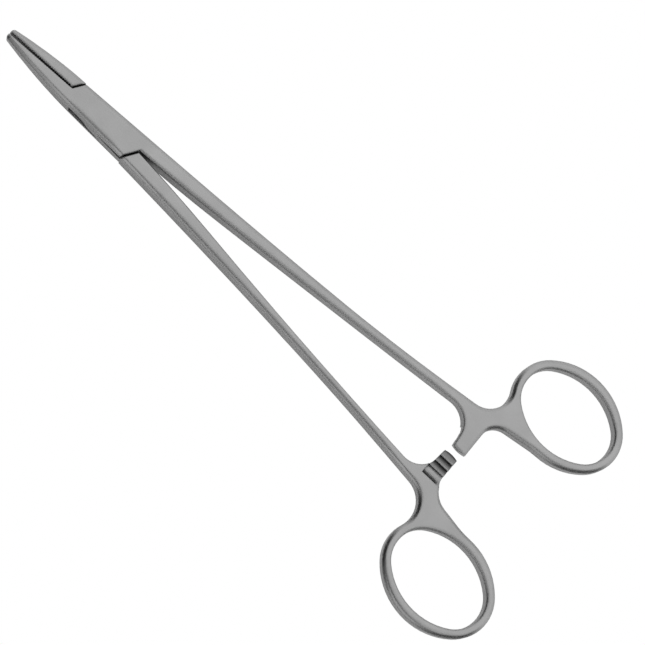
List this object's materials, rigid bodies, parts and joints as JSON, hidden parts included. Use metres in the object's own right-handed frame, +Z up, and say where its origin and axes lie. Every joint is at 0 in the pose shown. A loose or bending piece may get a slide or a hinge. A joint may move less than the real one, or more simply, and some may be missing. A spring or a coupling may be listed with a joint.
{
  "type": "surgical needle holder",
  "caption": "Ring-handled needle holder: two forged steel halves crossing in a box lock, with short jaws, long shanks, a toothed ratchet and finger rings.",
  "frame": {"origin": "on the pivot's axis, at the underside of the box lock, which the instrument lies on", "axes": "+X from the jaws to the finger rings, +Y towards the ring of the box half, +Z up out of the face it lies on, along the pivot"},
  "size_m": [0.199, 0.0844, 0.006],
  "materials": {
    "satin_steel": "satin"
  },
  "bodies": {
    "box_half": {"box_half": "satin_steel", "pivot_pin": "satin_steel"},
    "tongue_half": {"tongue_half": "satin_steel"}
  },
  "joints": [
    {"name": "box_lock_pivot", "type": "hinge", "parent": "box_half", "child": "tongue_half", "pos_m": [0, 0, 0.003], "axis": [0, 0, -1], "range_deg": [-0.6, 90]}
  ]
}
